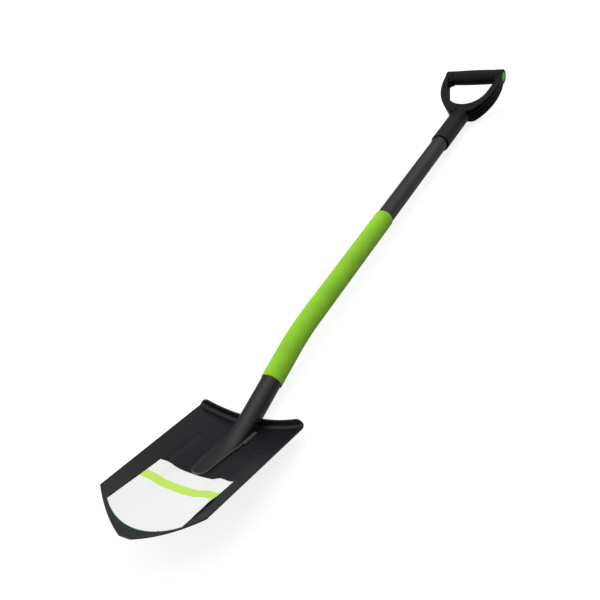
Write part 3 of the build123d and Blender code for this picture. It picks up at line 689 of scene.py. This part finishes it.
class SpadeLabelSettings(bpy.types.PropertyGroup):
    film_colour: FloatVectorProperty(
        name="Film colour", description="Colour of the film", subtype="COLOR",
        default=(0.87, 0.88, 0.87))
    film_roughness: FloatProperty(
        name="Film roughness", description="Roughness of the film", subtype="FACTOR",
        min=0.0, max=1.0, default=0.4)
    stripe_colour: FloatVectorProperty(
        name="Stripe colour", description="Colour of the stripe", subtype="COLOR",
        default=(0.54, 0.81, 0.11))
    border_colour: FloatVectorProperty(
        name="Border colour", description="Colour of the thin line along the round edge", subtype="COLOR",
        default=(0.25, 0.5, 0.45))
    border_width: FloatProperty(
        name="Border width", description="Width of the line along the round edge", subtype="DISTANCE",
        default=0.7 * MM)
    stripe_top: FloatProperty(
        name="Stripe top", description="Stripe's distance from the upper edge", subtype="DISTANCE",
        default=27.0 * MM)
    stripe_width: FloatProperty(
        name="Stripe width", description="Width of the stripe", subtype="DISTANCE", default=14.5 * MM)


class SpadeGripSettings(bpy.types.PropertyGroup):
    sleeve_colour: FloatVectorProperty(
        name="Sleeve colour", description="Colour of the sleeve", subtype="COLOR",
        default=(0.325, 0.685, 0.032))
    grip_colour: FloatVectorProperty(
        name="Grip colour", description="Colour of the grip", subtype="COLOR",
        default=(0.0017, 0.0017, 0.0021))
    # The socket's paler colour is a painted highlight
    socket_highlight_colour: FloatVectorProperty(
        name="Socket colour", description="Colour of the grip's socket", subtype="COLOR",
        default=(0.0085, 0.0085, 0.0095))
    socket_end: FloatProperty(
        name="Socket end", description="Where the socket meets the arms along the spade", subtype="DISTANCE",
        default=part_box("grip_yoke")[0][1] + SOCKET_LENGTH)
    plug_colour: FloatVectorProperty(
        name="Plug colour", description="Colour of the end plugs", subtype="COLOR",
        default=(0.2, 0.62, 0.02))


class SpadeStageSettings(bpy.types.PropertyGroup):
    eye: FloatVectorProperty(
        name="Eye", description="Place of the camera", subtype="TRANSLATION",
        default=(0.68721, -0.97537, 0.83843))
    aim: FloatVectorProperty(
        name="Aim", description="Point that the camera looks at", subtype="TRANSLATION",
        default=(-0.04458, -0.12715, 0.035))
    roll: FloatProperty(
        name="Roll", description="Turn of the camera about its own axis", subtype="ANGLE",
        default=math.radians(19.5331))
    lens: FloatProperty(
        name="Lens", description="Focal length on a 36 mm sensor", unit="CAMERA", default=49.5315)
    sky: FloatProperty(name="Sky", description="Brightness all round", default=0.06)
    backdrop: FloatProperty(name="Backdrop", description="Brightness of the plain backdrop", default=1.0)
    floor_colour: FloatVectorProperty(
        name="Floor colour", description="Colour of the floor", subtype="COLOR",
        default=(0.28, 0.28, 0.28))
    floor_glow: FloatProperty(
        name="Floor glow", description="Light that comes through the floor", default=0.82)


class SPADE_OT_finish_steel(bpy.types.Operator):
    """Coat the blade and the shaft"""
    bl_idname = "spade.finish_steel"
    bl_label = "Finish steel"

    def execute(self, context):
        settings = context.scene.spade_steel
        # The blade's coat gets a painted highlight towards its point
        painted_highlight = (settings.highlight_start, settings.highlight_end, settings.highlight_colour)
        dress("blade", coat_material(
            settings, "powder_coat", settings.coat_colour, settings.coat_specular,
            round_off=settings.round_off, painted_highlight=painted_highlight))
        dress("shaft_tube", coat_material(
            settings, "tube_coat", settings.tube_colour, settings.tube_specular))
        return {"FINISHED"}


class SPADE_OT_finish_grip(bpy.types.Operator):
    """Colour the sleeve, the grip and its plugs"""
    bl_idname = "spade.finish_grip"
    bl_label = "Finish grip"

    def execute(self, context):
        settings = context.scene.spade_grip
        dress("shaft_sleeve", plastic_material("green_sleeve", settings.sleeve_colour, **SLEEVE_FINISH))
        dress("grip_yoke", yoke_material(settings))
        dress("grip_roll", plastic_material("black_rubber", settings.grip_colour, **ROLL_FINISH))
        plug = plastic_material("green_plastic", settings.plug_colour, **PLUG_FINISH)
        for node in ("end_plug_left", "end_plug_right"):
            dress(node, plug)
        return {"FINISHED"}


class SPADE_OT_make_welds(bpy.types.Operator):
    """Run the weld beads round the tongue and under the treads"""
    bl_idname = "spade.make_welds"
    bl_label = "Make welds"

    def execute(self, context):
        settings = context.scene.spade_weld
        steel = context.scene.spade_steel
        tree = weld_tree()
        # The right beads and the tongue's bead get the paler coat, a painted highlight; the left and tread
        # beads keep the blade's coat
        coat = coat_material(steel, "weld_coat", settings.bead_highlight_colour, steel.tube_specular, pale_edges=False)
        shaded = coat_material(
            steel, "shaded_weld_coat", steel.coat_colour, steel.coat_specular, pale_edges=False)
        tip = (BLADE @ Vector((0.0, TONGUE_TIP_AT - TONGUE_TIP_RADIUS, 0.0))).y
        # Paler towards the tongue's tip: a painted highlight
        highlighted = coat_material(
            steel, "tongue_weld_coat", settings.bead_highlight_colour, steel.tube_specular, pale_edges=False,
            painted_highlight=(tip + settings.tip_highlight_reach, tip, settings.tip_highlight_colour))
        shared = {"Grain": settings.grain, "Seed": settings.seed}
        thin = dict(
            shared, Pitch=THIN_PITCH, Width=settings.thin_width, Unevenness=THIN_SWING, Material=highlighted)
        thick = dict(
            shared, Pitch=THICK_PITCH, Width=settings.thick_width, Unevenness=THICK_SWING, Material=coat)
        single = dict(thick, Material=shaded)
        short = dict(single, Unevenness=SHORT_SWING)
        run_bead("tongue_bead", [tongue_outline(), tip_arc()], tree, thin, "tongue_weld")
        sides = ((-1.0, "left", LEFT_STRANDS, single), (1.0, "right", RIGHT_STRANDS, thick))
        for side, name, places, kind in sides:
            strands = []
            for x, top, end in places:
                height = face_height(x) + SIDE_BEAD_LIFT
                strands.append(straight(Vector((x, top, height)), Vector((x, end, height))))
            run_bead("side_bead_" + name, strands, tree, kind, "side_weld_" + name)
            low = Vector((side * TREAD_BEAD_X, TREAD_BEAD_Y, TREAD_BEAD_FROM))
            high = Vector((side * TREAD_BEAD_X, TREAD_BEAD_Y, TREAD_BEAD_TO))
            run_bead("tread_bead_" + name, [straight(low, high)], tree, short, "tread_weld_" + name)
        return {"FINISHED"}


class SPADE_OT_make_label(bpy.types.Operator):
    """Lay the film on the blade's face"""
    bl_idname = "spade.make_label"
    bl_label = "Make label"

    def execute(self, context):
        columns = 192
        rows = 88
        mesh = bpy.data.meshes.new("label_film")
        sheet = bmesh.new()
        layer = sheet.loops.layers.uv.new("label")
        margin = sheet.loops.layers.uv.new("margin")
        own = {}
        grid = []
        for row in range(rows + 1):
            line = []
            for column in range(columns + 1):
                share = 2.0 * column / columns - 1.0
                across = share * LABEL_WIDTH / 2
                down = label_length(across) * row / rows
                vertex = sheet.verts.new(label_point(across, down))
                rest = label_length(across) - down
                own[vertex] = (across, down), (LABEL_WIDTH / 2 - abs(across), rest)
                line.append(vertex)
            grid.append(line)
        for upper, lower in zip(grid, grid[1:]):
            for column in range(columns):
                corners = (upper[column], lower[column], lower[column + 1], upper[column + 1])
                face = sheet.faces.new(corners)
                face.smooth = True
                for loop in face.loops:
                    loop[layer].uv, loop[margin].uv = own[loop.vert]
        sheet.to_mesh(mesh)
        sheet.free()
        mesh.transform(BLADE)
        mesh.materials.append(label_material(context.scene.spade_label))
        piece = new_object("label_film", mesh)
        film = piece.modifiers.new("film", "SOLIDIFY")
        film.thickness = LABEL_FILM
        film.offset = -1.0
        plain(piece)
        hand_over(piece, "sticker_film", "blade_label")
        return {"FINISHED"}


class SPADE_OT_make_screw(bpy.types.Operator):
    """Turn the grip's screw, with a cross recess in its head"""
    bl_idname = "spade.make_screw"
    bl_label = "Make screw"

    def execute(self, context):
        seat = mount("shaft_clip_seat")
        along = Vector(seat["axis"]).normalized()
        across = Vector((1.0, 0.0, 0.0))
        out = along.cross(across)
        head = Vector(seat["pos_m"]) + along * SCREW_FROM_SEAT + out * SOCKET_RADIUS
        turn = Matrix((across, out.cross(across), out)).transposed()
        mesh = bpy.data.meshes.new("cross_screw")
        screw = bmesh.new()
        steps = 96
        rings = 16
        loops = []
        outline = [(SCREW_HEAD * ring / rings, None) for ring in range(1, rings + 1)]
        outline += SCREW_SIDE
        for radius, height in outline:
            loop = []
            for step in range(steps):
                angle = 2.0 * math.pi * step / steps
                x = radius * math.cos(angle)
                y = radius * math.sin(angle)
                z = -recess_depth(x, y) if height is None else height
                loop.append(screw.verts.new((x, y, z)))
            loops.append(loop)
        middle = screw.verts.new((0.0, 0.0, -recess_depth(0.0, 0.0)))
        point = screw.verts.new((0.0, 0.0, SCREW_SIDE[-1][1] - SCREW_POINT))
        for at in range(steps):
            after = (at + 1) % steps
            screw.faces.new((middle, loops[0][at], loops[0][after]))
            for inner, outer in zip(loops, loops[1:]):
                screw.faces.new((inner[at], outer[at], outer[after], inner[after]))
            screw.faces.new((loops[-1][at], point, loops[-1][after]))
        screw.to_mesh(mesh)
        screw.free()
        mesh.transform(Matrix.Translation(head) @ turn.to_4x4())
        mesh.materials.append(steel_material(context.scene.spade_steel))
        hand_over(new_object("cross_screw", mesh), "plain_steel", "grip_screw")
        return {"FINISHED"}


def make_floor(settings):
    """A wide pale floor, lit through so that it stays plain."""
    mesh = bpy.data.meshes.new("floor")
    reach = FLOOR_REACH
    corners = [(-reach, -reach, 0.0), (reach, -reach, 0.0), (reach, reach, 0.0), (-reach, reach, 0.0)]
    mesh.from_pydata(corners, [], [(0, 1, 2, 3)])
    floor = new_object("floor", mesh)
    pale, _, shader, _ = new_material("pale_floor", settings.floor_colour, FLOOR_ROUGHNESS, 0.0)
    shader.inputs["Emission Color"].default_value = (1.0, 1.0, 1.0, 1.0)
    shader.inputs["Emission Strength"].default_value = settings.floor_glow
    mesh.materials.append(pale)
    floor.visible_glossy = False
    floor.visible_diffuse = False


def light_studio(scene, settings):
    """Soft lights all round, and a plain backdrop for the camera."""
    world = bpy.data.worlds.new("studio")
    world.use_nodes = True
    scene.world = world
    nodes = Nodes(world.node_tree)
    facing = nodes.add("ShaderNodeTexCoord").outputs["Generated"]
    strength = settings.sky
    for azimuth, elevation, reach, brightness in STUDIO:
        around = math.radians(azimuth)
        rise = math.radians(elevation)
        level = math.cos(rise)
        centre = (level * math.cos(around), level * math.sin(around), math.sin(rise))
        alike = nodes.add("ShaderNodeVectorMath", {0: facing, 1: centre}, operation="DOT_PRODUCT")
        lamp = nodes.spread(alike.outputs["Value"], math.cos(math.radians(reach)), 1.0, 0.0, brightness)
        strength = nodes.maths("ADD", lamp, strength)
    seen = nodes.add("ShaderNodeLightPath").outputs["Is Camera Ray"]
    strength = nodes.spread(seen, 0.0, 1.0, strength, settings.backdrop)
    back = world.node_tree.nodes["Background"]
    back.inputs["Color"].default_value = (1.0, 1.0, 1.0, 1.0)
    nodes.feed(strength, back, "Strength")


def place_camera(scene, settings):
    """The camera at its eye, aimed and rolled."""
    camera = bpy.data.objects.new("camera", bpy.data.cameras.new("camera"))
    scene.collection.objects.link(camera)
    camera.data.lens = settings.lens
    camera.data.sensor_width = SENSOR_WIDTH
    eye = Vector(settings.eye)
    forward = (Vector(settings.aim) - eye).normalized()
    level = forward.cross(Vector((0.0, 0.0, 1.0))).normalized()
    upright = level.cross(forward)
    up = upright * math.cos(settings.roll) + level * math.sin(settings.roll)
    right = forward.cross(up)
    turn = Matrix((right, up, -forward)).transposed()
    camera.matrix_world = Matrix.Translation(eye) @ turn.to_4x4()
    scene.camera = camera


class SPADE_OT_set_stage(bpy.types.Operator):
    """Set the floor, the light and the camera"""
    bl_idname = "spade.set_stage"
    bl_label = "Set stage"

    def execute(self, context):
        scene = context.scene
        settings = scene.spade_stage
        scene.view_settings.view_transform = "Standard"
        make_floor(settings)
        light_studio(scene, settings)
        place_camera(scene, settings)
        return {"FINISHED"}


SETTINGS = (
    ("spade_steel", SpadeSteelSettings),
    ("spade_weld", SpadeWeldSettings),
    ("spade_label", SpadeLabelSettings),
    ("spade_grip", SpadeGripSettings),
    ("spade_stage", SpadeStageSettings),
)
OPERATORS = (
    SPADE_OT_finish_steel,
    SPADE_OT_finish_grip,
    SPADE_OT_make_welds,
    SPADE_OT_make_label,
    SPADE_OT_make_screw,
    SPADE_OT_set_stage,
)


class SPADE_PT_looks(bpy.types.Panel):
    """Buttons for the spade's pieces and stage"""
    bl_label = "Spade"
    bl_idname = "SPADE_PT_looks"
    bl_space_type = "VIEW_3D"
    bl_region_type = "UI"
    bl_category = "Spade"

    def draw(self, context):
        for operator in OPERATORS:
            self.layout.operator(operator.bl_idname)


def register():
    """Add the settings, the operators and the panel."""
    for name, group in SETTINGS:
        bpy.utils.register_class(group)
        setattr(bpy.types.Scene, name, PointerProperty(type=group))
    for item in (*OPERATORS, SPADE_PT_looks):
        bpy.utils.register_class(item)


def unregister():
    """Take them away again."""
    for item in (SPADE_PT_looks, *reversed(OPERATORS)):
        bpy.utils.unregister_class(item)
    for name, group in reversed(SETTINGS):
        delattr(bpy.types.Scene, name)
        bpy.utils.unregister_class(group)


def main():
    """Build every piece and the stage."""
    register()
    bpy.ops.spade.finish_steel()
    bpy.ops.spade.finish_grip()
    bpy.ops.spade.make_welds()
    bpy.ops.spade.make_label()
    bpy.ops.spade.make_screw()
    bpy.ops.spade.set_stage()


if __name__ == "__main__":
    main()
